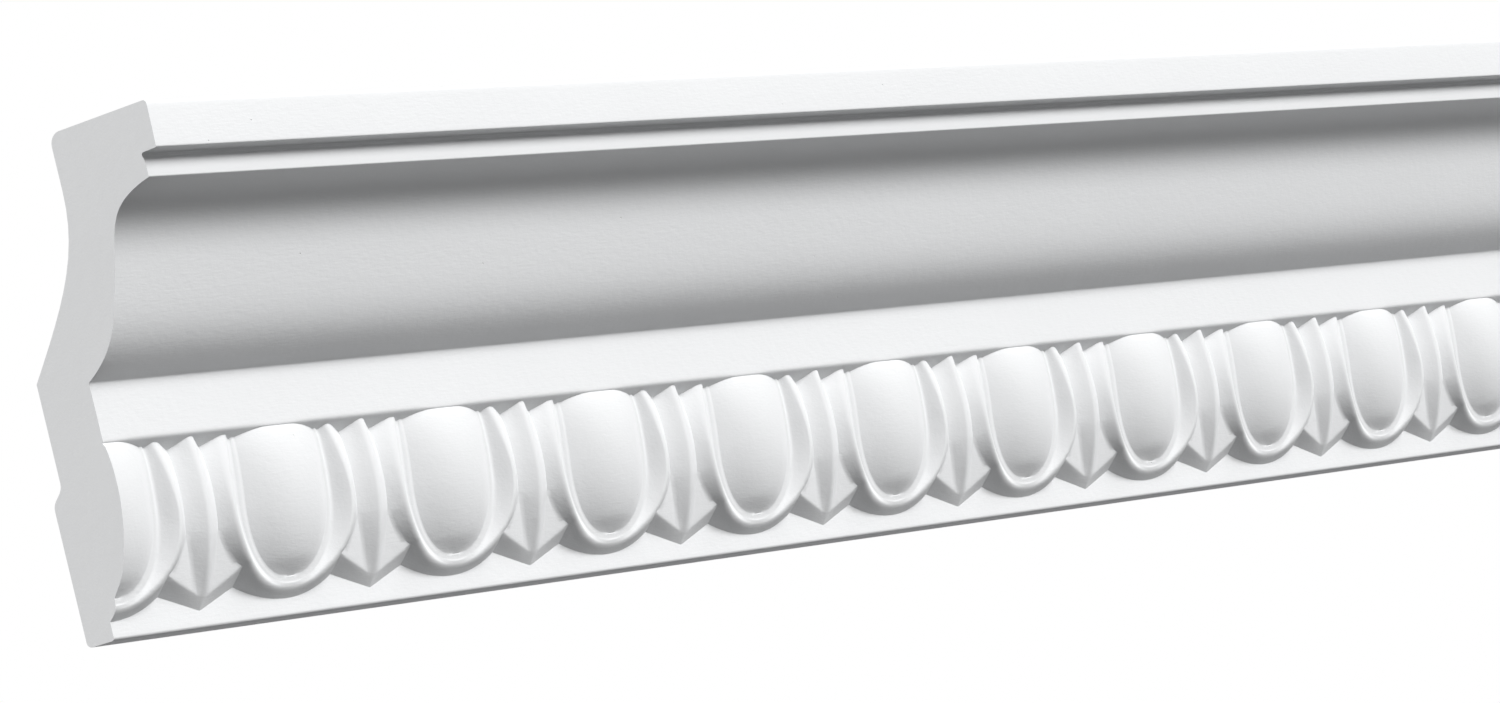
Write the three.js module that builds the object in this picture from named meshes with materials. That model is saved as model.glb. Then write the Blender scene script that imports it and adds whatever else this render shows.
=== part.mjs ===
import * as THREE from "three";
import { mergeVertices } from "three/addons/utils/BufferGeometryUtils.js";

// A length of cast cornice moulding with an egg-and-dart band, as it sits between wall and ceiling.
// Millimetres. +X runs along the wall, +Y goes into the wall, +Z is up. The origin is the middle
// of the flat back face that is glued to the wall. "Out" is the distance in front of the wall.

// Length
const length = 620.4;
const eggSpacing = 56.4; // egg centre to egg centre, as near as whole spacings let it be

// Heights of the members, from the bottom edge up
const filletHeight = 3.6; // plain fillet, up to the tips of the darts
const carvedHeight = 34.7; // egg and dart
const lowerFasciaHeight = 12.1;
const cymaHeight = 34.8;
const beadHeight = 4.2;
const quirkHeight = 0.9; // sunk line between the bead and the top fascia
const topFasciaHeight = 9.7;

// How far the members stand out from the wall
const filletOut = 7.1;
const lowerFasciaOut = 16.1;
const beadOut = 43;
const quirkOut = 42.6;
const topFasciaOut = 46.7;
const topFasciaFootOut = 46.5; // its face bows back a little towards the lower edge

// Edges
const bottomRadius = 1.2;
const filletRadius = 0.7; // lower edge of the fillet
const beadRise = 2.1; // height of the bead's soft upper side
const beadRadius = 0.3; // lower edge of the bead
const quirkRadius = 0.6;
const quirkDrop = 0.1; // slope of the quirk's upper side
const topFrontRadius = 0.9;
const topBackRadius = 2.6;

// Back, plain and hollow so that the casting keeps an even wall
const wallFaceHeight = 26.8;
const stepHeight = 5.2; // slope from the wall face back to the recess
const recessDepth = 3;
const recessHeight = 20.2;
const hollowHeight = 35;
const ceilingBackOut = 21; // back edge of the face that meets the ceiling

// Soffit of the lower fascia over the carving: rise for each millimetre out
const soffitSlope = 0.7;
const soffitLip = 0.3; // the least the soffit goes in, over the middle of an egg

// Carving, across: shares of the pitch, from the middle of an egg
const across = {
  egg: 0.234,
  rim: 0.2535,
  shell: 0.345,
  valley: 0.4087, // between the shell and the dart
  barbCorner: 0.2872,
  barbBow: 0.371, // bow of the barb's edge beside the shell
  barbInner: 0.4627, // lower inner corner of the barb, at the dart's flank
  dartTip: 0.489, // half pitch less the half width of the dart's tip
};

// Carving, across: how much narrower each form is at the fascia than at the waist
const lean = { egg: 0.006, rim: 0.009, shell: 0.046 };
const leanPower = 1.8;

// Carving, up: shares of the carved height, from the tips of the darts
const upTo = {
  waist: 0.588, // where the sides stop being straight and start to close
  eggFoot: 0.12,
  rimFoot: 0.09,
  shellFoot: 0.049,
  arcFoot: 0.004, // where the shell's underside meets the fillet
  barbTop: 0.415,
  barbBow: 0.277,
  barbCorner: 0.2075,
  barbInner: 0.0865,
  spineFoot: 0.07,
  cusp: 0.11, // fillet's cusp between the shell and the dart
};

// Carving, out: shares of the step from the fillet to the lower fascia. Each line of the carving
// is a curve of four points, out and up, from the fascia down. The egg's goes on in a second curve,
// the heel under it
const outTo = { barbTop: 0.578, barbCorner: 0.433, barbInner: 0.211 };
const eggLine = [1.0, 1.0, 1.26, 0.74, 1.03, 0.41, 0.567, 0.21, 0.46, 0.18, 0.36, 0.15, 0.255, 0.12];
const rimLine = [0.767, 1.0, 0.87, 0.761, 0.56, 0.343, 0.255, 0.09];
const shellLine = [0.911, 1.0, 1.011, 0.703, 1.078, 0.285, 0.211, 0.049];
const valleyLine = [0.53, 1.0, 0.84, 0.8, 0.84, 0.6, 0.578, 0.415];
const spineLine = [0.967, 1.0, 1.056, 0.703, 1.056, 0.325, 0.0, 0.0];
const eggGroove = 0.022; // sunk line between the egg and its rim
const channelDepth = 0.11;
const channelSwell = 0.02; // how far the channel swells instead, under the egg
const channelRise = 0.2; // how much of the channel's depth is lost on the way up to the fascia
const channelPlace = 0.22; // from the rim to the shell's ridge
const channelPower = 1.5; // how quickly the channel sinks, from the foot of the egg up its side
const roundness = 2.15; // power of the egg's outline, 2 is an ellipse

// Steps
const curveSteps = 10;
const arcSteps = 3;
const upperRows = 3;
const flankRows = 2;
const barbRows = 3;
const cuspRows = 1;
const arcRows = 6;
const barbCells = 2;
const eggRings = [0, 0.3, 0.58, 0.82, 1];

// Levels and places worked out from the sizes above
const pitches = Math.max(1, Math.round(length / eggSpacing)); // each end is cut through an egg
const pitch = length / pitches;
const halfPitch = pitch / 2;
const carvedStep = lowerFasciaOut - filletOut;
const carvedTop = filletHeight + carvedHeight;
const creaseLevel = carvedTop + lowerFasciaHeight;
const beadLevel = creaseLevel + cymaHeight;
const quirkLevel = beadLevel + beadHeight;
const topFasciaLevel = quirkLevel + quirkHeight;
const ceilingLevel = topFasciaLevel + topFasciaHeight;
const wallFaceMiddle = bottomRadius + wallFaceHeight / 2;
const recessLevel = bottomRadius + wallFaceHeight + stepHeight;
const hollowLevel = recessLevel + recessHeight;
const waistLevel = level(upTo.waist);

function level(share) {
  return filletHeight + share * carvedHeight;
}

function outAt(share) {
  return filletOut + share * carvedStep;
}

// A point of the carving: x across from the middle of the egg, up from the bottom edge, and out
function node(x, up, out) {
  return { x, up, out };
}

function mix(a, b, share) {
  return a + (b - a) * share;
}

function mixNodes(a, b, share) {
  return node(mix(a.x, b.x, share), mix(a.up, b.up, share), mix(a.out, b.out, share));
}

// One line of the carving, as a function that gives out for a height
function lineOf(values) {
  const points = [];
  for (let i = 0; i < values.length; i += 2) {
    points.push(new THREE.Vector2(outAt(values[i]), level(values[i + 1])));
  }
  const line = new THREE.CurvePath();
  for (let i = 3; i < points.length; i += 3) {
    line.add(new THREE.CubicBezierCurve(...points.slice(i - 3, i + 1)));
  }
  const drawn = line.getPoints(40);
  return (up) => {
    const below = drawn.findIndex((point) => point.y <= up);
    if (below < 0) return drawn[drawn.length - 1].x;
    if (below === 0) return drawn[0].x;
    const upper = drawn[below - 1];
    const lower = drawn[below];
    return mix(lower.x, upper.x, (up - lower.y) / (upper.y - lower.y));
  };
}

const eggOut = lineOf(eggLine);
const rimOut = lineOf(rimLine);
const shellOut = lineOf(shellLine);
const valleyOut = lineOf(valleyLine);
const spineOut = lineOf(spineLine);
const edgeOut = (up) => rimOut(up) - eggGroove * carvedStep;

// The nested outlines of egg, rim and shell: straight and leaning in above the waist, closing
// below it in one rounded curve
function formOf(name, foot) {
  return { half: across[name] * pitch, lean: lean[name] * pitch, drop: waistLevel - level(foot) };
}

const eggForm = formOf("egg", upTo.eggFoot);
const rimForm = formOf("rim", upTo.rimFoot);
const shellForm = formOf("shell", upTo.shellFoot);

function halfAt(form, up) {
  if (up >= waistLevel) {
    const rise = (up - waistLevel) / (carvedTop - waistLevel);
    return form.half - form.lean * rise ** leanPower;
  }
  const share = Math.min((waistLevel - up) / form.drop, 1);
  return form.half * (1 - share ** roundness) ** (1 / roundness);
}

function reach(form, angle) {
  const sideways = (Math.sin(angle) / form.half) ** roundness;
  const down = (Math.cos(angle) / form.drop) ** roundness;
  return (sideways + down) ** (-1 / roundness);
}

// The barb of the dart is flat: a plane through its top, its outer corner and its inner corner
const barbTop = node(across.valley * pitch, level(upTo.barbTop), outAt(outTo.barbTop));
const barbCorner = node(across.barbCorner * pitch, level(upTo.barbCorner), outAt(outTo.barbCorner));
const barbInner = node(across.barbInner * pitch, level(upTo.barbInner), outAt(outTo.barbInner));

function vectorTo({ x, up, out }) {
  return new THREE.Vector3(x, out, up);
}

const barbPlane = new THREE.Plane().setFromCoplanarPoints(...[barbTop, barbCorner, barbInner].map(vectorTo));

function barbOut(x, up) {
  const { normal, constant } = barbPlane;
  return -(constant + normal.x * x + normal.z * up) / normal.y;
}

// The foot of the shell, from the waist down to the middle of the egg, where it meets the
// valley, then the barb of the dart, then the fillet
function footNodes() {
  const nodes = [];
  for (let i = 1; i <= flankRows; i += 1) {
    const up = mix(waistLevel, barbTop.up, i / flankRows);
    nodes.push(node(barbTop.x, up, valleyOut(up)));
  }
  const edge = new THREE.QuadraticBezierCurve(
    new THREE.Vector2(barbTop.x, barbTop.up),
    new THREE.Vector2(across.barbBow * pitch, level(upTo.barbBow)),
    new THREE.Vector2(barbCorner.x, barbCorner.up),
  );
  for (const point of edge.getPoints(barbRows).slice(1)) {
    nodes.push(node(point.x, point.y, barbOut(point.x, point.y)));
  }
  const cusp = node(barbCorner.x, level(upTo.cusp), filletOut);
  for (let i = 1; i <= cuspRows; i += 1) {
    nodes.push(mixNodes(barbCorner, cusp, i / cuspRows));
  }
  for (let i = 1; i <= arcRows; i += 1) {
    const share = 1 - i / arcRows;
    nodes.push(node(cusp.x * share, mix(level(upTo.arcFoot), cusp.up, share ** 2), filletOut));
  }
  return nodes;
}

// Out at a point of the egg's dome
function domeOut(x, up) {
  const share = x / halfAt(eggForm, up);
  return edgeOut(up) + (eggOut(up) - edgeOut(up)) * (1 - share ** 2);
}

// The columns across a level row above the waist: egg, rim, channel, shell, valley, dart
function levelColumns(up) {
  const egg = halfAt(eggForm, up);
  const rim = halfAt(rimForm, up);
  const shell = halfAt(shellForm, up);
  const rise = (up - waistLevel) / (carvedTop - waistLevel);
  const channel = mix(rimOut(up), shellOut(up), channelPlace);
  const sunk = channelDepth * carvedStep * (1 - channelRise * rise);
  const nodes = eggRings.map((share) => node(egg * share, up, domeOut(egg * share, up)));
  nodes.push(node(rim, up, rimOut(up)));
  nodes.push(node(mix(rim, shell, channelPlace), up, channel - sunk));
  nodes.push(node(shell, up, shellOut(up)));
  nodes.push(node(barbTop.x, up, valleyOut(up)));
  nodes.push(node(halfPitch, up, spineOut(up)));
  return nodes;
}

// The height at which a column runs into the soffit
function soffitLevel(column) {
  let up = carvedTop;
  for (let i = 0; i < 4; i += 1) {
    const out = Math.min(levelColumns(up)[column].out, lowerFasciaOut - soffitLip);
    up = carvedTop - soffitSlope * (lowerFasciaOut - out);
  }
  return up;
}

// The rows above the waist, the first along the fascia's lower edge, the second along the
// line where the carving meets the soffit
function upperGrid() {
  const tops = levelColumns(carvedTop).map((_, column) => soffitLevel(column));
  const rows = [];
  for (let i = 0; i <= upperRows; i += 1) {
    rows.push(tops.map((top, column) => {
      const up = mix(top, waistLevel, i / upperRows);
      const place = levelColumns(up)[column];
      const limit = lowerFasciaOut - (carvedTop - up) / soffitSlope;
      return i === 0 ? node(place.x, up, limit) : place;
    }));
  }
  rows.unshift(rows[0].map((place) => node(place.x, carvedTop, lowerFasciaOut)));
  return rows;
}

// The ray from the middle of the egg's waist to a node of the shell's foot
function rayTo(foot) {
  const angle = Math.atan2(foot.x, waistLevel - foot.up);
  const at = (radius) => [radius * Math.sin(angle), waistLevel - radius * Math.cos(angle)];
  const egg = reach(eggForm, angle);
  const rim = reach(rimForm, angle);
  const shell = reach(shellForm, angle);
  const nodes = eggRings.map((share) => {
    const [x, up] = at(egg * share);
    return node(x, up, share < 1 ? domeOut(x, up) : edgeOut(up));
  });
  const [rimX, rimUp] = at(rim);
  const [shellX, shellUp] = at(shell);
  const [channelX, channelUp] = at(mix(rim, shell, channelPlace));
  const channel = mix(rimOut(rimUp), shellOut(shellUp), channelPlace);
  const sunk = mix(-channelSwell, channelDepth, Math.sin(angle) ** channelPower) * carvedStep;
  nodes.push(node(rimX, rimUp, rimOut(rimUp)));
  nodes.push(node(channelX, channelUp, channel - sunk));
  nodes.push(node(shellX, shellUp, shellOut(shellUp)));
  nodes.push(foot);
  return nodes;
}

// Half of the dart below the waist: from the shell's foot over the barb and up the flank to
// the spine, one row for each node of the foot down to the cusp
function dartGrid(feet) {
  const tip = node(across.dartTip * pitch, level(upTo.arcFoot), filletOut);
  const spineTip = node(halfPitch, filletHeight, filletOut);
  return feet.slice(0, flankRows + barbRows + cuspRows).map((foot, i) => {
    const down = Math.max(0, Math.min(1, (i + 1 - flankRows) / barbRows));
    const under = Math.max(0, (i + 1 - flankRows - barbRows) / cuspRows);
    const spineUp = i < flankRows ? foot.up : mix(barbTop.up, level(upTo.spineFoot), down);
    const spine = node(halfPitch, spineUp, spineOut(spineUp));
    if (i < flankRows) return [...Array(barbCells + 1).fill(foot), spine];
    const flank = under > 0 ? mixNodes(barbInner, tip, under) : mixNodes(barbTop, barbInner, down);
    const cells = [];
    for (let k = 0; k <= barbCells; k += 1) {
      cells.push(mixNodes(foot, flank, k / barbCells));
    }
    return [...cells, under > 0 ? mixNodes(spine, spineTip, under) : spine];
  });
}

// The outline in front, from the ceiling face down to the lower fascia's edge
function frontOutline() {
  const path = new THREE.Path();
  path.moveTo(-topFasciaOut + topFrontRadius, ceilingLevel);
  path.absarc(
    -topFasciaOut + topFrontRadius, ceilingLevel - topFrontRadius, topFrontRadius,
    Math.PI / 2, Math.PI, false,
  );
  path.quadraticCurveTo(
    -topFasciaOut, topFasciaLevel + topFasciaHeight / 2,
    -topFasciaFootOut, topFasciaLevel,
  );
  path.lineTo(-quirkOut - quirkRadius, topFasciaLevel - quirkDrop);
  path.quadraticCurveTo(-quirkOut, topFasciaLevel - quirkDrop, -quirkOut, quirkLevel);
  path.quadraticCurveTo(
    -beadOut, quirkLevel - (beadOut - quirkOut),
    -beadOut, quirkLevel - beadRise,
  );
  path.lineTo(-beadOut, beadLevel + beadRadius);
  path.quadraticCurveTo(-beadOut, beadLevel, -beadOut + beadRadius, beadLevel);
  const run = beadOut - beadRadius - lowerFasciaOut;
  const bend = { out: lowerFasciaOut + 0.499 * run, up: creaseLevel + 0.578 * cymaHeight };
  path.bezierCurveTo(
    -lowerFasciaOut - 0.589 * run, creaseLevel + 0.925 * cymaHeight,
    -lowerFasciaOut - 0.594 * run, creaseLevel + 0.825 * cymaHeight,
    -bend.out, bend.up,
  );
  path.bezierCurveTo(
    -lowerFasciaOut - 0.374 * run, creaseLevel + 0.276 * cymaHeight,
    -lowerFasciaOut - 0.317 * run, creaseLevel + 0.129 * cymaHeight,
    -lowerFasciaOut, creaseLevel,
  );
  path.lineTo(-lowerFasciaOut, carvedTop);
  return drawnPoints(path);
}

// The outline from the fillet's lower edge round the bottom and up the back to the ceiling face
function backOutline() {
  const path = new THREE.Path();
  path.moveTo(-filletOut, filletRadius);
  path.absarc(-filletOut + filletRadius, filletRadius, filletRadius, Math.PI, Math.PI * 1.5, false);
  path.lineTo(-bottomRadius, 0);
  path.absarc(-bottomRadius, bottomRadius, bottomRadius, -Math.PI / 2, 0, false);
  path.lineTo(0, bottomRadius + wallFaceHeight);
  path.bezierCurveTo(
    0, bottomRadius + wallFaceHeight + stepHeight / 2,
    -recessDepth, recessLevel - stepHeight / 2,
    -recessDepth, recessLevel,
  );
  path.lineTo(-recessDepth, hollowLevel);
  const run = ceilingBackOut - recessDepth;
  path.bezierCurveTo(
    -recessDepth - 0.628 * run, hollowLevel + 0.385 * hollowHeight,
    -ceilingBackOut, hollowLevel + 0.62 * hollowHeight,
    -ceilingBackOut, hollowLevel + hollowHeight,
  );
  path.lineTo(-ceilingBackOut, ceilingLevel - topBackRadius);
  path.absarc(
    -ceilingBackOut - topBackRadius, ceilingLevel - topBackRadius, topBackRadius,
    0, Math.PI / 2, false,
  );
  return drawnPoints(path);
}

// The points of a path, with arcs and curves in their own number of steps
function drawnPoints(path) {
  const points = [];
  for (const curve of path.curves) {
    const steps = { LineCurve: 1, EllipseCurve: arcSteps, QuadraticBezierCurve: arcSteps };
    const drawn = curve.getPoints(steps[curve.type] ?? curveSteps);
    for (const point of drawn) {
      const last = points[points.length - 1];
      if (!last || last.distanceTo(point) > 1e-6) points.push(point);
    }
  }
  return points;
}

// Triangles, gathered corner by corner
const corners = [];

function triangle(a, b, c) {
  if (a.distanceTo(b) < 1e-6 || b.distanceTo(c) < 1e-6 || c.distanceTo(a) < 1e-6) return;
  corners.push(...a.toArray(), ...b.toArray(), ...c.toArray());
}

function quad(a, b, c, d) {
  triangle(a, b, c);
  triangle(a, c, d);
}

function sheet(rows, turned) {
  for (let i = 1; i < rows.length; i += 1) {
    for (let k = 1; k < rows[i].length; k += 1) {
      const ring = [rows[i - 1][k - 1], rows[i][k - 1], rows[i][k], rows[i - 1][k]];
      quad(...(turned ? ring.reverse() : ring));
    }
  }
}

const startX = -length / 2;
const at = (x, point) => new THREE.Vector3(x, point.x, point.y - wallFaceMiddle);

// The carving, mirrored about each egg's middle and repeated along the length
const feet = footNodes();
const upper = upperGrid();
const rays = [upper[upper.length - 1].slice(0, -1), ...feet.map(rayTo)];
const dart = [upper[upper.length - 1].slice(-2), ...dartGrid(feet)];
dart[0] = [...Array(barbCells).fill(dart[0][0]), ...dart[0]];
rays[0] = rays[0].map((place, k) => (k === 0 ? rays[1][0] : place));
upper[upper.length - 1][0] = rays[1][0];
const contour = [
  ...rays.slice(flankRows + barbRows + cuspRows).map((ray) => ray[ray.length - 1]).reverse(),
  ...dart[dart.length - 1].slice(1),
];
const fillet = [contour, contour.map((place) => node(place.x, filletRadius, filletOut))];

for (let i = 0; i < pitches; i += 1) {
  for (const side of [1, -1]) {
    const middle = startX + pitch * (side > 0 ? i : i + 1);
    const place = ({ x, up, out }) => new THREE.Vector3(middle + side * x, -out, up - wallFaceMiddle);
    for (const grid of [upper, rays, dart, fillet]) {
      sheet(grid.map((row) => row.map(place)), side < 0);
    }
  }
}

// The plain members, in one run from end to end
const front = frontOutline();
const back = backOutline();

function run(points) {
  for (let i = 1; i < points.length; i += 1) {
    quad(
      at(startX, points[i - 1]), at(startX, points[i]),
      at(-startX, points[i]), at(-startX, points[i - 1]),
    );
  }
}

run(front.slice(0, -1));
run(back.slice(1));
run([back[back.length - 1], front[0]]);

// A plain strip with one edge that has a corner at each column of the carving
function comb(edgePoint, columns, columnLevel, columnOut, turned) {
  const places = [];
  for (let i = 0; i < pitches; i += 1) {
    const first = startX + pitch * i;
    places.push(...columns.map((x) => first + x));
    places.push(...columns.map((x) => first + pitch - x).reverse());
  }
  const xs = places.filter((x, i) => i === 0 || x - places[i - 1] > 1e-6);
  const edge = xs.map((x) => at(x, new THREE.Vector2(-columnOut, columnLevel)));
  const half = Math.floor(edge.length / 2);
  const left = at(startX, edgePoint);
  const right = at(-startX, edgePoint);
  for (let i = 1; i < edge.length; i += 1) {
    const apex = i <= half ? left : right;
    triangle(...(turned ? [apex, edge[i], edge[i - 1]] : [apex, edge[i - 1], edge[i]]));
  }
  triangle(...(turned ? [left, right, edge[half]] : [left, edge[half], right]));
}

comb(front[front.length - 2], upper[0].map((place) => place.x), carvedTop, lowerFasciaOut, false);
comb(back[1], contour.map((place) => place.x), filletRadius, filletOut, true);

// The two sawn ends, through the middle of an egg
const middleLine = [
  ...upper.slice(1).map((row) => row[0]),
  ...rays[rays.length - 1].slice(1),
].map((place) => new THREE.Vector2(-place.out, place.up));
const section = [...front, ...middleLine, ...back];
for (const [a, b, c] of THREE.ShapeUtils.triangulateShape(section, [])) {
  triangle(at(startX, section[a]), at(startX, section[c]), at(startX, section[b]));
  triangle(at(-startX, section[a]), at(-startX, section[b]), at(-startX, section[c]));
}

const loose = new THREE.BufferGeometry();
loose.setAttribute("position", new THREE.Float32BufferAttribute(corners, 3));
const geometry = mergeVertices(loose, 1e-4);
geometry.computeVertexNormals();

const primedFoam = new THREE.MeshStandardMaterial({ color: 0xf2f2f0, roughness: 0.6, metalness: 0 });
const moulding = new THREE.Mesh(geometry, primedFoam);
moulding.name = "cornice_moulding";

const group = new THREE.Group();
group.add(moulding);

export default group;
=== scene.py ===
import math
import bmesh
import bpy
from mathutils import Matrix, Vector


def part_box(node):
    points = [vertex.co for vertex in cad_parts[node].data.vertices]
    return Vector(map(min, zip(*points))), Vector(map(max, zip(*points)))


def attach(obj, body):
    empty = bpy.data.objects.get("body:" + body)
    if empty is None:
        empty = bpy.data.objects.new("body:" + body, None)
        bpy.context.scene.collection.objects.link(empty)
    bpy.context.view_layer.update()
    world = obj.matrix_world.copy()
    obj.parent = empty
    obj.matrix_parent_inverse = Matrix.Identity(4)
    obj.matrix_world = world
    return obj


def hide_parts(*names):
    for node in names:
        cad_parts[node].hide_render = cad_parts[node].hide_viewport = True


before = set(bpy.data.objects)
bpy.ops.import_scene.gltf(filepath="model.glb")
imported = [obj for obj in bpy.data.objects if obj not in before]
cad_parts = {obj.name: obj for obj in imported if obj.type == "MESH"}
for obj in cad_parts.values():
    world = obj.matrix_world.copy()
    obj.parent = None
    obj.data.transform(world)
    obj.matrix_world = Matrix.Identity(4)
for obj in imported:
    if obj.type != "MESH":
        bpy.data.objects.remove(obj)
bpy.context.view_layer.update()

# A length of cast cornice moulding with an egg-and-dart band. A shape is worked out in millimetres,
# up from the bottom edge and out from the wall, and its mesh is in metres.
millimetre = 0.001
lowCorner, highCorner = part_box("cornice_moulding")


def linear(hexValue):  # sRGB hex to linear colour
    parts = [int(hexValue[i:i + 2], 16) / 255 for i in (1, 3, 5)]
    return tuple(c / 12.92 if c <= 0.04045 else ((c + 0.055) / 1.055) ** 2.4 for c in parts) + (1.0,)


def mix(a, b, share):
    return a + (b - a) * share


def addNode(tree, kind, inputs=None, **settings):  # one node with its settings and links
    node = tree.nodes.new(kind)
    for name, value in settings.items():
        setattr(node, name, value)
    for name, value in (inputs or {}).items():
        if isinstance(value, bpy.types.NodeSocket):
            tree.links.new(value, node.inputs[name])
        else:
            node.inputs[name].default_value = value
    return node


def addObject(name, data):
    made = bpy.data.objects.new(name, data)
    bpy.context.collection.objects.link(made)
    return made


# Plain members of the section. Lines are shares of their member, out and up in turn
section = {
    "filletHeight": 3.6,
    "carvedHeight": 34.7,
    "lowerFasciaHeight": 12.1,
    "cymaHeight": 34.8,
    "beadHeight": 4.2,
    "quirkHeight": 0.9,
    "topFasciaHeight": 9.7,
    "filletOut": 7.1,
    "lowerFasciaOut": 16.1,
    "beadOut": 43.0,
    "quirkOut": 42.6,
    "topFasciaOut": 46.7,
    "topFasciaFootOut": 46.5,
    "bottomRadius": 1.2,
    "filletRadius": 0.7,
    "beadRise": 2.1,
    "beadRadius": 0.3,
    "quirkRadius": 0.5,
    "quirkDrop": 0.1,
    "topFasciaRadius": 0.35,
    "topFrontRadius": 0.9,
    "topBackRadius": 2.6,
    "wallFaceHeight": 26.8,
    "stepHeight": 5.2,
    "recessDepth": 3.0,
    "recessHeight": 20.2,
    "hollowHeight": 35.0,
    "ceilingBackOut": 21.0,
    "edgeRadius": 0.55,  # softness of the cast edges
    "cymaLine": (1, 1, 0.589, 0.925, 0.594, 0.825, 0.499, 0.578, 0.374, 0.276, 0.317, 0.129, 0, 0),
    "stepLine": (0, 0, 0, 0.5, 1, 0.5, 1, 1),
    "hollowLine": (0, 0, 0.628, 0.385, 1, 0.62, 1, 1),
    "filletSplit": 0.4,  # the fillet's face is parted at this share of its height
    "curveSteps": 22,
    "backSteps": 11,
    "bowSteps": 10,
    "arcSteps": 6,
    "edgeSteps": 3,
    "sharpAngle": 38,  # degrees
    "flatCorners": 8,  # a face with more corners than this is one of the large flat ones
    "endOn": 0.999,  # a face whose normal keeps this much to the length is a cut end
    "samePoint": 0.00001,  # a corner this close to its neighbour is left out of a face
    "pointJoin": 0.002,  # points this close are joined, and so are those where two slices meet
    "sliceJoin": 0.005,
}

# Egg and dart. Across: shares of the pitch from the middle of an egg. Up: shares of the carved
# height. Out: shares of the step from the fillet to the lower fascia. Lines are out and up in turn.
carving = {
    "eggSpacing": 56.4,
    "across": {"egg": 0.234, "rim": 0.2535, "shell": 0.345, "barbTop": 0.4087, "barbCorner": 0.2872,
               "barbBow": 0.371, "barbInner": 0.4627, "dartTip": 0.489},
    "lean": {"egg": 0.006, "rim": 0.009, "shell": 0.046},
    "leanPower": 1.8,
    "up": {"waist": 0.588, "eggFoot": 0.12, "rimFoot": 0.09, "shellFoot": 0.049, "arcFoot": 0.004,
           "barbTop": 0.415, "barbBow": 0.277, "barbCorner": 0.2075, "barbInner": 0.0865,
           "spineFoot": 0.07, "cusp": 0.11},
    "out": {"barbTop": 0.578, "barbCorner": 0.433, "barbInner": 0.211},
    "eggLine": (1.0, 1.0, 1.26, 0.74, 1.03, 0.41, 0.567, 0.21, 0.46, 0.18, 0.36, 0.15, 0.255, 0.12),
    "rimLine": (0.767, 1.0, 0.87, 0.761, 0.56, 0.343, 0.255, 0.09),
    "shellLine": (0.911, 1.0, 1.011, 0.703, 1.078, 0.285, 0.211, 0.049),
    "valleyLine": (0.53, 1.0, 0.79, 0.8, 0.77, 0.6, 0.578, 0.415),
    "spineLine": (0.967, 1.0, 1.056, 0.703, 1.056, 0.325, 0.0, 0.0),
    "eggGroove": 0.012,
    "channelDepth": 0.11,
    "channelSwell": 0.02,
    "channelRise": 0.2,
    "channelPlace": 0.22,
    "channelPower": 1.5,
    "roundness": 2.15,
    "soffitSlope": 0.7,
    "soffitLip": 0.3,
    "rimRadius": 0.9,  # softness of the ridges and of the channel between them
    "channelRadius": 0.6,
    "shellRadius": 0.7,
    "shellOuterRadius": 1.2,
    "spineRadius": 0.8,
    "barbRadius": 0.4,
    "bluntTop": 1.0,  # how much softer the ridges are at the fascia, and the shell's under the egg
    "bluntFoot": 1.0,
    "lineSteps": 80,  # fineness of the mesh
    "domeSteps": 14,
    "ridgeSteps": 6,
    "channelSteps": 4,
    "channelPoints": 2,
    "slopePoints": 3,
    "soffitRounds": 5,
    "upperRows": 16,
    "flankRows": 7,
    "barbRows": 9,
    "barbCells": 5,
    "tipRows": 4,
    "arcRows": 16,
}

# Levels worked out from the sizes above
carvedTop = section["filletHeight"] + section["carvedHeight"]
creaseLevel = carvedTop + section["lowerFasciaHeight"]
beadLevel = creaseLevel + section["cymaHeight"]
quirkLevel = beadLevel + section["beadHeight"]
topFasciaLevel = quirkLevel + section["quirkHeight"]
ceilingLevel = topFasciaLevel + section["topFasciaHeight"]
wallFaceMiddle = section["bottomRadius"] + section["wallFaceHeight"] / 2
carvedStep = section["lowerFasciaOut"] - section["filletOut"]
length = (highCorner.x - lowCorner.x) / millimetre
pitches = max(1, round(length / carving["eggSpacing"]))
pitch = length / pitches
halfPitch = pitch / 2


def level(share):
    return section["filletHeight"] + share * section["carvedHeight"]


def outAt(share):
    return section["filletOut"] + share * carvedStep


def node(x, up, out):
    return Vector((x, up, out))


def cubic(points, t):
    a, b, c, d = points
    return a * (1 - t) ** 3 + b * (3 * t * (1 - t) ** 2) + c * (3 * t * t * (1 - t)) + d * t ** 3


def drawn(values, place, steps):  # a line's shares as points of a smooth curve, four to a bend
    points = [Vector(place(out, up)) for out, up in zip(values[::2], values[1::2])]
    line = []
    for first in range(0, len(points) - 1, 3):
        line += [cubic(points[first:first + 4], i / steps) for i in range(steps + 1)]
    return line


def bowed(a, b, c, steps):  # points of a curve with one bend, both ends included
    shares = [i / steps for i in range(steps + 1)]
    return [a * (1 - t) ** 2 + b * (2 * t * (1 - t)) + c * t * t for t in shares]


def between(a, b, count):  # inner points of a straight stretch
    return [a.lerp(b, i / (count + 1)) for i in range(1, count + 1)]


cornerReach = 0.45  # a soft corner takes at most this share of the stretch beside it
leastWeight = 0.05  # and stays at least this full where the line turns back


def arcCorner(before, corner, after, radius, steps, outer=None):  # a corner made round
    inward, onward = before - corner, after - corner
    start = corner + inward.normalized() * min(radius, cornerReach * inward.length)
    end = corner + onward.normalized() * min(outer or radius, cornerReach * onward.length)
    weight = max(leastWeight, math.sin(inward.angle(onward, math.pi) / 2))
    points = []
    for i in range(steps + 1):
        t = i / steps
        a, b, c = (1 - t) ** 2, 2 * t * (1 - t) * weight, t * t
        points.append((start * a + corner * b + end * c) / (a + b + c))
    return points


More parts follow.
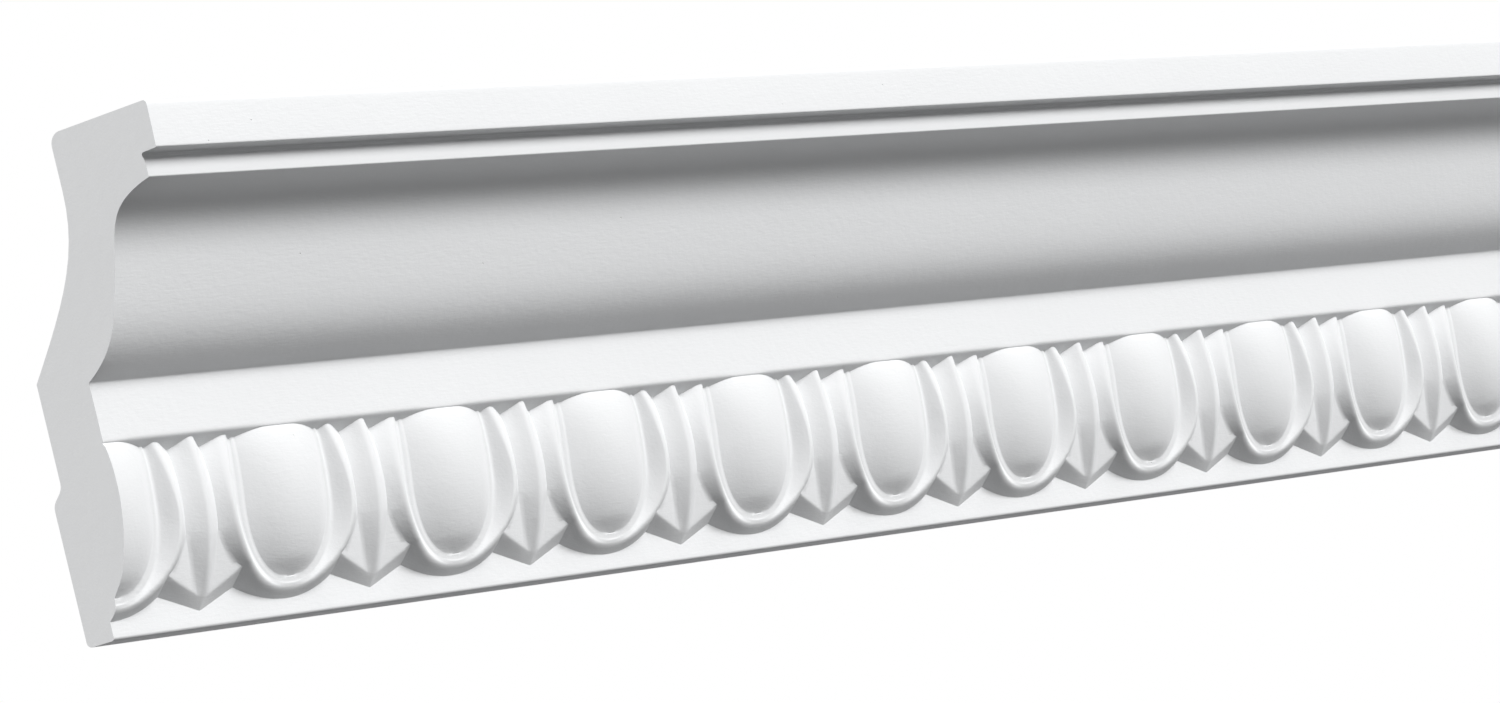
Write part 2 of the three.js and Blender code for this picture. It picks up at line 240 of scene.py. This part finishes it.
def lineOf(name):  # one line of the carving, as a function that gives out for a height
    line = drawn(carving[name], lambda out, up: (outAt(out), level(up)), carving["lineSteps"])

    def outOf(up):
        if up >= line[0].y:
            return line[0].x
        for upper, lower in zip(line, line[1:]):
            if lower.y <= up:
                rise = upper.y - lower.y
                return mix(lower.x, upper.x, (up - lower.y) / rise) if rise else lower.x
        return line[-1].x
    return outOf


waistLevel = level(carving["up"]["waist"])
eggOut, rimOut, shellOut, valleyOut, spineOut = (
    lineOf(name) for name in ("eggLine", "rimLine", "shellLine", "valleyLine", "spineLine")
)


def edgeOut(up):  # out at the line round the egg
    return rimOut(up) - carving["eggGroove"] * carvedStep


def riseOf(up):  # 0 at the waist, 1 at the lower fascia
    return (up - waistLevel) / (carvedTop - waistLevel)


def formOf(name):  # nested outline: straight and leaning in above the waist, rounded below it
    return {
        "half": carving["across"][name] * pitch,
        "lean": carving["lean"][name] * pitch,
        "drop": waistLevel - level(carving["up"][name + "Foot"]),
    }


eggForm, rimForm, shellForm = (formOf(name) for name in ("egg", "rim", "shell"))


def halfAt(form, up):
    if up >= waistLevel:
        return form["half"] - form["lean"] * riseOf(up) ** carving["leanPower"]
    power = carving["roundness"]
    share = min((waistLevel - up) / form["drop"], 1)
    return form["half"] * (1 - share ** power) ** (1 / power)


def reach(form, angle):  # from the middle of the waist to the outline, at an angle from straight down
    power = carving["roundness"]
    sideways = (abs(math.sin(angle)) / form["half"]) ** power
    down = (abs(math.cos(angle)) / form["drop"]) ** power
    return (sideways + down) ** (-1 / power)


domeShares = [math.sin(i / carving["domeSteps"] * math.pi / 2) for i in range(carving["domeSteps"] + 1)]


def domeOut(x, up):  # out at a point of the egg
    half = halfAt(eggForm, up)
    share = min(x / half, 1) if half > 0 else 1
    return edgeOut(up) + (eggOut(up) - edgeOut(up)) * (1 - share ** 2)


def eggToShell(dome, rim, channel, shell, foot, blunt):  # from the egg's edge over rim and shell to the foot
    c = carving
    rimArc = arcCorner(dome, rim, channel, c["rimRadius"], c["ridgeSteps"])
    channelArc = arcCorner(rim, channel, shell, c["channelRadius"], c["channelSteps"])
    inner, outer = c["shellRadius"] * blunt, c["shellOuterRadius"] * blunt
    shellArc = arcCorner(channel, shell, foot, inner, c["ridgeSteps"], outer)
    channelSide = between(channelArc[-1], shellArc[0], c["channelPoints"])
    slope = between(shellArc[-1], foot, c["slopePoints"])
    return [*rimArc, *channelArc, *channelSide, *shellArc, *slope, foot]


def flankToSpine(foot, spine, blunt=1):  # from the valley up the dart's flank to its soft spine
    farFoot = node(2 * spine.x - foot.x, foot.y, foot.z)
    ridge = arcCorner(foot, spine, farFoot, carving["spineRadius"] * blunt, carving["ridgeSteps"])
    nearHalf = ridge[:len(ridge) // 2 + 1]
    return [*between(foot, nearHalf[0], carving["slopePoints"]), *nearHalf]


def upperRow(up):  # one level above the waist, from the egg's middle to the dart's spine
    rimX, shellX = halfAt(rimForm, up), halfAt(shellForm, up)
    place = carving["channelPlace"]
    sunk = carving["channelDepth"] * carvedStep * (1 - carving["channelRise"] * riseOf(up))
    rim, shell = node(rimX, up, rimOut(up)), node(shellX, up, shellOut(up))
    channel = node(mix(rimX, shellX, place), up, mix(rimOut(up), shellOut(up), place) - sunk)
    valley = node(carving["across"]["barbTop"] * pitch, up, valleyOut(up))
    spine = node(halfPitch, up, spineOut(up))
    half = halfAt(eggForm, up)
    dome = [node(half * share, up, domeOut(half * share, up)) for share in domeShares]
    blunt = 1 + carving["bluntTop"] * riseOf(up)
    flank = flankToSpine(valley, spine, blunt)
    return [*dome, *eggToShell(dome[-1], rim, channel, shell, valley, blunt), *flank]


def soffitLevel(column):  # the height at which a column runs into the soffit, found in a few rounds
    up = carvedTop
    for _ in range(carving["soffitRounds"]):
        out = min(upperRow(up)[column].z, section["lowerFasciaOut"] - carving["soffitLip"])
        up = carvedTop - carving["soffitSlope"] * (section["lowerFasciaOut"] - out)
    return up


def upperGrid():  # from the fascia's soft lower edge over the soffit and down to the waist
    fasciaOut, soft = section["lowerFasciaOut"], section["edgeRadius"]
    tops = [soffitLevel(column) for column in range(len(upperRow(carvedTop)))]
    rows = []
    for i in range(carving["upperRows"] + 1):
        row = []
        for column, top in enumerate(tops):
            up = mix(top, waistLevel, i / carving["upperRows"])
            place = upperRow(up)[column]
            if i == 0:
                place.z = fasciaOut - (carvedTop - up) / carving["soffitSlope"]
            row.append(place)
        rows.append(row)
    edge = []
    for place in rows[0]:
        above, foot = node(place.x, creaseLevel, fasciaOut), node(place.x, carvedTop, fasciaOut)
        edge.append(arcCorner(above, foot, place, soft, section["edgeSteps"]))
    support = [node(place.x, carvedTop + 2 * soft, fasciaOut) for place in rows[0]]
    return [support, *[list(row) for row in zip(*edge)], *rows]


def rayTo(foot):  # from the middle of the egg's waist to a point of the shell's foot
    angle = math.atan2(foot.x, waistLevel - foot.y)
    egg, rim, shell = (reach(form, angle) for form in (eggForm, rimForm, shellForm))

    def at(radius, outOf):
        x, up = radius * math.sin(angle), waistLevel - radius * math.cos(angle)
        return node(x, up, outOf(up) if outOf is not domeOut else domeOut(x, up))
    dome = [at(egg * share, domeOut) for share in domeShares[:-1]] + [at(egg, edgeOut)]
    rimPoint, shellPoint = at(rim, rimOut), at(shell, shellOut)
    place = carving["channelPlace"]
    depth = mix(-carving["channelSwell"], carving["channelDepth"], math.sin(angle) ** carving["channelPower"])
    channel = at(mix(rim, shell, place), edgeOut)
    channel.z = mix(rimPoint.z, shellPoint.z, place) - depth * carvedStep
    blunt = 1 + carving["bluntFoot"] * (1 - math.sin(angle))
    return [*dome, *eggToShell(dome[-1], rimPoint, channel, shellPoint, foot, blunt)]


def barbPoint(name):  # a corner of the dart's flat barb
    return node(carving["across"][name] * pitch, level(carving["up"][name]), outAt(carving["out"][name]))


barbTop, barbCorner, barbInner = (barbPoint(name) for name in ("barbTop", "barbCorner", "barbInner"))
barbNormal = (barbCorner - barbTop).cross(barbInner - barbTop)


def barbOut(x, up):
    across, down = (x - barbTop.x) * barbNormal.x, (up - barbTop.y) * barbNormal.y
    return barbTop.z - (across + down) / barbNormal.z


def dartGrid():  # half of the dart below the waist, from the shell's foot over barb and flank to the spine
    upTo, barbRows, barbCells = carving["up"], carving["barbRows"], carving["barbCells"]
    rows = []
    for i in range(carving["flankRows"] + 1):
        up = mix(waistLevel, barbTop.y, i / carving["flankRows"])
        foot = node(barbTop.x, up, valleyOut(up))
        rows.append([foot] * (barbCells + 1) + flankToSpine(foot, node(halfPitch, up, spineOut(up))))
    bow = Vector((carving["across"]["barbBow"] * pitch, level(upTo["barbBow"])))
    for i in range(1, barbRows + 1):
        down = i / barbRows
        edge = barbTop.xy * (1 - down) ** 2 + bow * (2 * down * (1 - down)) + barbCorner.xy * down ** 2
        foot = node(edge.x, edge.y, barbOut(edge.x, edge.y))
        flank = barbTop.lerp(barbInner, down)
        spineUp = mix(barbTop.y, level(upTo["spineFoot"]), down)
        cells = [foot, *between(foot, flank, barbCells - 1), flank]
        rows.append(cells + flankToSpine(flank, node(halfPitch, spineUp, spineOut(spineUp))))
    cusp = node(barbCorner.x, level(upTo["cusp"]), section["filletOut"])
    tip = node(carving["across"]["dartTip"] * pitch, level(upTo["arcFoot"]), section["filletOut"])
    spineTip = node(halfPitch, section["filletHeight"], section["filletOut"])
    cells = [cusp, *between(cusp, tip, barbCells - 1), tip]
    contour = cells + between(tip, spineTip, len(rows[-1]) - len(cells) - 1) + [spineTip]
    soft, steps, tipRows = carving["barbRadius"], section["edgeSteps"], carving["tipRows"]
    edgeRow, before = rows.pop(), rows[-1]
    rounded = [arcCorner(a, b, c, soft, steps) for a, b, c in zip(before, edgeRow, contour)]
    rows += [list(row) for row in zip(*rounded)]
    rows += [[a.lerp(b, i / tipRows) for a, b in zip(rows[-1], contour)] for i in range(1, tipRows)]
    return [*rows, contour]


def profileFront():  # out and up, from the ceiling face down to the lower fascia
    s = section
    arcSteps, bowSteps = s["arcSteps"], s["bowSteps"]
    run = s["beadOut"] - s["beadRadius"] - s["lowerFasciaOut"]

    def inCyma(out, up):
        return s["lowerFasciaOut"] + out * run, creaseLevel + up * s["cymaHeight"]
    cyma = drawn(s["cymaLine"], inCyma, s["curveSteps"])
    ceilingBack = Vector((s["ceilingBackOut"] + s["topBackRadius"], ceilingLevel))
    top = Vector((s["topFasciaOut"], ceilingLevel))
    middle = Vector((s["topFasciaOut"], topFasciaLevel + s["topFasciaHeight"] / 2))
    foot = Vector((s["topFasciaFootOut"], topFasciaLevel))
    quirkTop = Vector((s["quirkOut"], topFasciaLevel - s["quirkDrop"]))
    quirkFoot = Vector((s["quirkOut"], quirkLevel))
    shoulder = Vector((s["beadOut"], quirkLevel - (s["beadOut"] - s["quirkOut"])))
    beadMiddle = Vector((s["beadOut"], quirkLevel - s["beadRise"]))
    beadFoot = Vector((s["beadOut"], beadLevel))
    crease = Vector((s["lowerFasciaOut"], creaseLevel))
    fasciaFoot = Vector((s["lowerFasciaOut"], carvedTop))
    line = arcCorner(ceilingBack, top, middle, s["topFrontRadius"], arcSteps)
    face = bowed(line[-1], middle, foot, bowSteps)
    line += face[1:-1]
    line += arcCorner(face[-2], foot, quirkTop, s["topFasciaRadius"], arcSteps)
    line += arcCorner(foot, quirkTop, quirkFoot, s["quirkRadius"], arcSteps)
    line += bowed(quirkFoot, shoulder, beadMiddle, bowSteps)
    line += arcCorner(beadMiddle, beadFoot, cyma[1], s["beadRadius"], arcSteps)
    line += cyma[1:-1]
    line += arcCorner(cyma[-2], crease, fasciaFoot, s["edgeRadius"] / 2, s["edgeSteps"])
    return line + [crease - Vector((0, s["edgeRadius"]))]


def profileBack():  # out and up, from the fillet's lower edge round the bottom and up the back
    s = section
    wallTop = s["bottomRadius"] + s["wallFaceHeight"]
    hollowLevel = wallTop + s["stepHeight"] + s["recessHeight"]
    run = s["ceilingBackOut"] - s["recessDepth"]

    def inStep(out, up):
        return out * s["recessDepth"], wallTop + up * s["stepHeight"]

    def inHollow(out, up):
        return s["recessDepth"] + out * run, hollowLevel + up * s["hollowHeight"]
    step = drawn(s["stepLine"], inStep, s["backSteps"])
    hollow = drawn(s["hollowLine"], inHollow, s["backSteps"])
    filletTop = Vector((s["filletOut"], s["filletHeight"]))
    filletFoot = Vector((s["filletOut"], 0))
    heel = Vector((0, 0))
    back = Vector((s["ceilingBackOut"], ceilingLevel))
    line = [filletFoot.lerp(filletTop, s["filletSplit"])]
    line += arcCorner(filletTop, filletFoot, heel, s["filletRadius"], s["arcSteps"])
    line += arcCorner(filletFoot, heel, step[0], s["bottomRadius"], s["arcSteps"])
    line += step + hollow
    front = Vector((s["topFasciaOut"], ceilingLevel))
    return line + arcCorner(hollow[-1], back, front, s["topBackRadius"], s["arcSteps"])


def carvedGrids():  # half a pitch of the carving in three grids, and its contour on the fillet
    upper, dart = upperGrid(), dartGrid()
    feet = [row[0] for row in dart[1:]]
    cusp = feet[-1]
    for i in range(1, carving["arcRows"] + 1):
        share = 1 - i / carving["arcRows"]
        up = mix(level(carving["up"]["arcFoot"]), cusp.y, share ** 2)
        feet.append(node(cusp.x * share, up, section["filletOut"]))
    rays = [rayTo(foot) for foot in feet]
    rays.insert(0, upper[-1][:len(rays[0])])
    centre = rays[1][0]
    for row in (rays[0], upper[-1]):
        row[0] = centre
    contour = [ray[-1] for ray in reversed(rays[len(dart) - 1:])] + dart[-1][1:]
    return (upper, rays, dart), contour


def mirrored(points):  # the same points in the other half of the pitch
    return [node(pitch - p.x, p.y, p.z) for p in reversed(points)]


def buildSlice():  # one pitch of the moulding, from the middle of one egg to the middle of the next
    grids, contour = carvedGrids()
    fasciaEdge = grids[0][0]
    front, back = profileFront(), profileBack()
    bm = bmesh.new()
    start = lowCorner.x / millimetre

    def place(p):
        return bm.verts.new(Vector((start + p.x, -p.z, p.y - wallFaceMiddle)) * millimetre)

    def face(points):
        nexts = points[1:] + points[:1]
        corners = [p for p, q in zip(points, nexts) if (p - q).length > section["samePoint"]]
        if len(corners) > 2:
            bm.faces.new([place(p) for p in corners])
    for grid in grids:
        for above, below in zip(grid, grid[1:]):
            for k in range(1, len(above)):
                cell = [above[k - 1], below[k - 1], below[k], above[k]]
                face(cell)
                face(mirrored(cell))
    for line in (front, back, [back[-1], front[0]]):
        for a, b in zip(line, line[1:]):
            face([node(0, a.y, a.x), node(0, b.y, b.x), node(pitch, b.y, b.x), node(pitch, a.y, a.x)])
    low, high = back[0], front[-1]
    fasciaEnds = [node(pitch, high.y, high.x), node(0, high.y, high.x)]
    face([*fasciaEnds, *fasciaEdge, *mirrored(fasciaEdge[:-1])])
    filletEnds = [node(0, low.y, low.x), node(pitch, low.y, low.x)]
    face([*filletEnds, *reversed(contour + mirrored(contour[:-1]))])
    bmesh.ops.remove_doubles(bm, verts=bm.verts, dist=section["pointJoin"] * millimetre)
    mesh = bpy.data.meshes.new("moulding_slice")
    bm.to_mesh(mesh)
    bm.free()
    return mesh


def runTree(material):  # repeats a slice along the length and joins the copies into one skin
    tree = bpy.data.node_groups.new("mouldingRun", "GeometryNodeTree")
    names = {}
    for name, kind in (("Slice", "Geometry"), ("Slices", "Int"), ("Pitch", "Float"), ("Join", "Float")):
        socket = tree.interface.new_socket(name, in_out="INPUT", socket_type="NodeSocket" + kind)
        names[name] = socket.identifier
    tree.interface.new_socket("Moulding", in_out="OUTPUT", socket_type="NodeSocketGeometry")
    given = addNode(tree, "NodeGroupInput").outputs
    offset = addNode(tree, "ShaderNodeCombineXYZ", {"X": given["Pitch"]}).outputs[0]
    places = addNode(tree, "GeometryNodeMeshLine", {"Count": given["Slices"], "Offset": offset})
    copies = addNode(tree, "GeometryNodeInstanceOnPoints", {
        "Points": places.outputs[0], "Instance": given["Slice"],
    })
    real = addNode(tree, "GeometryNodeRealizeInstances", {"Geometry": copies.outputs[0]})
    joined = addNode(tree, "GeometryNodeMergeByDistance", {
        "Geometry": real.outputs[0], "Distance": given["Join"],
    })
    coated = addNode(tree, "GeometryNodeSetMaterial", {"Geometry": joined.outputs[0], "Material": material})
    addNode(tree, "NodeGroupOutput", {"Moulding": coated.outputs[0]})
    return tree, names


def buildMoulding(primer, sawn):
    piece = addObject("cornice_casting", buildSlice())
    tree, names = runTree(primer)
    run = piece.modifiers.new("Run", "NODES")
    run.node_group = tree
    run[names["Slices"]] = pitches
    run[names["Pitch"]] = pitch * millimetre
    run[names["Join"]] = section["sliceJoin"] * millimetre
    evaluated = piece.evaluated_get(bpy.context.evaluated_depsgraph_get())
    mesh = bpy.data.meshes.new_from_object(evaluated)
    piece.modifiers.clear()
    piece.data = mesh
    bm = bmesh.new()
    bm.from_mesh(mesh)
    ends = [edge for edge in bm.edges if edge.is_boundary]
    bmesh.ops.holes_fill(bm, edges=ends, sides=0)
    bmesh.ops.recalc_face_normals(bm, faces=bm.faces)
    for f in bm.faces:
        f.smooth = True
        f.material_index = 1 if abs(f.normal.x) > section["endOn"] else 0
    loose = sum(not edge.is_manifold for edge in bm.edges)
    print("open edges", loose, "volume mm3", bm.calc_volume() / millimetre ** 3)
    bm.to_mesh(mesh)
    bm.free()
    mesh.set_sharp_from_angle(angle=math.radians(section["sharpAngle"]))
    for polygon in mesh.polygons:  # the large flat faces keep one shade up to their edges
        if len(polygon.vertices) > section["flatCorners"]:
            for loop in polygon.loop_indices:
                mesh.edges[mesh.loops[loop].edge_index].use_edge_sharp = True
    mesh.materials.clear()
    mesh.materials.append(primer)
    mesh.materials.append(sawn)
    mesh.name = "cornice_casting"
    return piece


# Coats and cut faces. Sizes and depths in millimetres, colours as sRGB hex
primerCoat = {
    "colour": "#ebeced",
    "cloudColour": "#e7e8e9",
    "cloudSize": 45,
    "grainSize": 0.35,
    "grainDepth": 0.012,
    "peelSize": 2.4,
    "peelDepth": 0.05,
    "dragSize": 0.5,  # drag of the mould along the length
    "dragStretch": 0.2,
    "dragDepth": 0.035,
    "pitSpacing": 7.0,
    "pitRadius": 0.22,
    "pitDepth": 0.15,
    "pitShare": 0.3,
    "roughness": (0.5, 0.62),
    "specular": 0.35,
}
sawnFace = {
    # a little greyer than the primer: the foam's own white with painted shade on the cut end
    "colour": "#e2e2e3",
    # pore colour: painted shade in the open cells and pinholes
    "poreShadeColour": "#c4c4c6",
    "poreShadeTone": 0.35,
    "cellSize": 0.32,
    "cellDepth": 0.05,
    "sawSpacing": 1.6,
    "sawDepth": 0.012,
    "sawWander": 3.0,
    "pinholeSpacing": 11.0,
    "pinholeRadius": 0.32,
    "pinholeDepth": 0.4,
    "pinholeShare": 0.35,
    "roughness": 0.92,
    "specular": 0.2,
}
spotMiddle = 0.4  # a spot is at its full depth inside this share of its radius
waveSpacing = 0.314  # distance between the bands of a wave texture at a scale of 1


def newMaterial(name):
    material = bpy.data.materials.new(name)
    material.use_nodes = True
    material.node_tree.nodes.clear()
    return material, material.node_tree


def scaleFor(size, unit=1):  # a pattern's scale, for a size in millimetres
    return unit / (size * millimetre)


def relief(tree, layers):  # bumps laid one over another, each as deep as its layer says
    normal = None
    for height, depth in layers:
        inputs = {"Height": height, "Strength": 1.0, "Distance": depth * millimetre}
        if normal is not None:
            inputs["Normal"] = normal
        normal = addNode(tree, "ShaderNodeBump", inputs).outputs[0]
    return normal


def spots(tree, place, spacing, radius, share):  # round spots in a share of the cells, 1 in their middle
    cells = addNode(tree, "ShaderNodeTexVoronoi", {"Vector": place, "Scale": scaleFor(spacing)})
    edge = radius / spacing
    inside = addNode(tree, "ShaderNodeMapRange", {
        "Value": cells.outputs["Distance"], "From Min": edge, "From Max": edge * spotMiddle,
        "To Min": 0.0, "To Max": 1.0,
    }, interpolation_type="SMOOTHSTEP")
    channels = addNode(tree, "ShaderNodeSeparateColor", {"Color": cells.outputs["Color"]})
    kept = addNode(tree, "ShaderNodeMath", {0: channels.outputs[0], 1: share}, operation="LESS_THAN")
    both = {0: inside.outputs[0], 1: kept.outputs[0]}
    return addNode(tree, "ShaderNodeMath", both, operation="MULTIPLY").outputs[0]


def primedFoam():  # sprayed primer over the foam's moulded skin: matte white, softly pebbled, a few air pits
    p = primerCoat
    material, tree = newMaterial("primer_on_moulded_polyurethane")
    place = addNode(tree, "ShaderNodeTexCoord").outputs["Object"]
    stretch = (p["dragStretch"], 1, 1)
    along = addNode(tree, "ShaderNodeMapping", {"Vector": place, "Scale": stretch}).outputs[0]
    lumps = {}
    for name, vector in (("cloud", place), ("peel", place), ("drag", along), ("grain", place)):
        inputs = {"Vector": vector, "Scale": scaleFor(p[name + "Size"])}
        lumps[name] = addNode(tree, "ShaderNodeTexNoise", inputs).outputs["Fac"]
    pits = spots(tree, place, p["pitSpacing"], p["pitRadius"], p["pitShare"])
    tone = addNode(tree, "ShaderNodeMix", {
        "Factor": lumps["cloud"], 6: linear(p["colour"]), 7: linear(p["cloudColour"]),
    }, data_type="RGBA").outputs[2]
    low, high = p["roughness"]
    sheen = addNode(tree, "ShaderNodeMapRange", {"Value": lumps["grain"], "To Min": low, "To Max": high})
    normal = relief(tree, (
        (lumps["peel"], p["peelDepth"]), (lumps["drag"], p["dragDepth"]),
        (lumps["grain"], p["grainDepth"]), (pits, -p["pitDepth"]),
    ))
    shader = addNode(tree, "ShaderNodeBsdfPrincipled", {
        "Base Color": tone, "Roughness": sheen.outputs[0],
        "Specular IOR Level": p["specular"], "Normal": normal,
    })
    addNode(tree, "ShaderNodeOutputMaterial", {"Surface": shader.outputs[0]})
    return material


def sawnFoam():  # bare foam cut by a fine saw: dull, the foam's own white made a little greyer than the primer as painted shade on the cut end, open cells and pinholes with painted shade in them
    p = sawnFace
    material, tree = newMaterial("sawn_polyurethane_foam")
    place = addNode(tree, "ShaderNodeTexCoord").outputs["Object"]
    cells = addNode(tree, "ShaderNodeTexVoronoi", {"Vector": place, "Scale": scaleFor(p["cellSize"])})
    holes = spots(tree, place, p["pinholeSpacing"], p["pinholeRadius"], p["pinholeShare"])
    cut = addNode(tree, "ShaderNodeTexWave", {
        "Vector": place, "Scale": scaleFor(p["sawSpacing"], waveSpacing), "Distortion": p["sawWander"],
    }, bands_direction="Z")
    # the cut face is darkened toward the pore colour in its open cells and pinholes: painted shade
    poreShadeInputs = {0: cells.outputs["Distance"], 1: p["poreShadeTone"]}
    shadedPores = addNode(tree, "ShaderNodeMath", poreShadeInputs, operation="MULTIPLY").outputs[0]
    paintedShade = addNode(tree, "ShaderNodeMath", {0: shadedPores, 1: holes}, operation="MAXIMUM").outputs[0]
    tone = addNode(tree, "ShaderNodeMix", {
        "Factor": paintedShade, 6: linear(p["colour"]), 7: linear(p["poreShadeColour"]),
    }, data_type="RGBA").outputs[2]
    normal = relief(tree, (
        (cells.outputs["Distance"], p["cellDepth"]), (cut.outputs["Fac"], p["sawDepth"]),
        (holes, -p["pinholeDepth"]),
    ))
    shader = addNode(tree, "ShaderNodeBsdfPrincipled", {
        "Base Color": tone, "Roughness": p["roughness"],
        "Specular IOR Level": p["specular"], "Normal": normal,
    })
    addNode(tree, "ShaderNodeOutputMaterial", {"Surface": shader.outputs[0]})
    return material


primer, sawn = primedFoam(), sawnFoam()
print("coats", primer.name, sawn.name)
moulding = buildMoulding(primer, sawn)
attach(moulding, "root")
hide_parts("cornice_moulding")
print("moulding", sum(len(p.vertices) - 2 for p in moulding.data.polygons), "triangles")

# The studio, in metres. A light is an azimuth and a height in degrees, and a strength
studio = {
    "cameraPlace": (-1.4252, -0.9262, -0.1327),
    "cameraRight": (0.5639, -0.7898, -0.2417),
    "cameraUp": (0.05670, -0.25500, 0.96528),
    "lens": 175.2,
    "sensor": 36,
    "sight": 50,
    "floorLevel": -0.26,
    "floorSize": 8.0,
    "paperColour": "#cfd0d2",
    "lightDistance": 3,
    "lightAngle": 28,
    "lights": {
        "key": (16, 34, 1.13), "top": (30, 60, 0.2), "low": (0, -30, 0.19), "end": (-128, 20, 0.77),
        "back": (150, 15, 0.2),
    },
    "fill": 0.138,
    "backdrop": 1.0,
}


def placeCamera():
    camera = addObject("camera", bpy.data.cameras.new("camera"))
    right, up = Vector(studio["cameraRight"]), Vector(studio["cameraUp"])
    turn = Matrix((right, up, right.cross(up))).transposed()
    camera.matrix_world = Matrix.Translation(studio["cameraPlace"]) @ turn.to_4x4()
    camera.data.lens = studio["lens"]
    camera.data.sensor_width = studio["sensor"]
    camera.data.clip_end = studio["sight"]
    bpy.context.scene.camera = camera


def layFloor():
    half, up = studio["floorSize"] / 2, studio["floorLevel"]
    corners = [(-half, -half, up), (half, -half, up), (half, half, up), (-half, half, up)]
    sheet = bpy.data.meshes.new("studio_floor")
    sheet.from_pydata(corners, [], [(0, 1, 2, 3)])
    floor = addObject("studio_floor", sheet)
    paper = bpy.data.materials.new("studio_paper")
    paper.use_nodes = True
    colour = linear(studio["paperColour"])
    paper.node_tree.nodes["Principled BSDF"].inputs["Base Color"].default_value = colour
    sheet.materials.append(paper)
    floor.visible_diffuse = False  # a far floor: it is seen, and throws no light up at the mouldings


def hangLight(name, azimuth, elevation, strength):  # a wide lamp, far enough to light all the length alike
    lamp = bpy.data.lights.new(name, "SUN")
    lamp.energy = strength * math.pi
    lamp.angle = math.radians(studio["lightAngle"])
    light = addObject(name, lamp)
    a, e = math.radians(azimuth), math.radians(elevation)
    way = Vector((math.sin(a) * math.cos(e), -math.cos(a) * math.cos(e), math.sin(e)))
    light.location = way * studio["lightDistance"]
    light.rotation_euler = way.to_track_quat("Z", "Y").to_euler()


def lightWorld():  # a white backdrop to the eye, and a weak even light to the mouldings
    world = bpy.data.worlds.new("studio")
    bpy.context.scene.world = world
    world.use_nodes = True
    tree = world.node_tree
    tree.nodes.clear()
    path = addNode(tree, "ShaderNodeLightPath")
    white = linear("#ffffff")
    fill = addNode(tree, "ShaderNodeBackground", {"Color": white, "Strength": studio["fill"]})
    seen = addNode(tree, "ShaderNodeBackground", {"Color": white, "Strength": studio["backdrop"]})
    chosen = addNode(tree, "ShaderNodeMixShader", {
        0: path.outputs["Is Camera Ray"], 1: fill.outputs[0], 2: seen.outputs[0],
    })
    addNode(tree, "ShaderNodeOutputWorld", {"Surface": chosen.outputs[0]})


placeCamera()
layFloor()
for name, (azimuth, elevation, strength) in studio["lights"].items():
    hangLight(name, azimuth, elevation, strength)
lightWorld()
bpy.context.scene.view_settings.view_transform = "Standard"
print("studio", len(studio["lights"]), "lights")
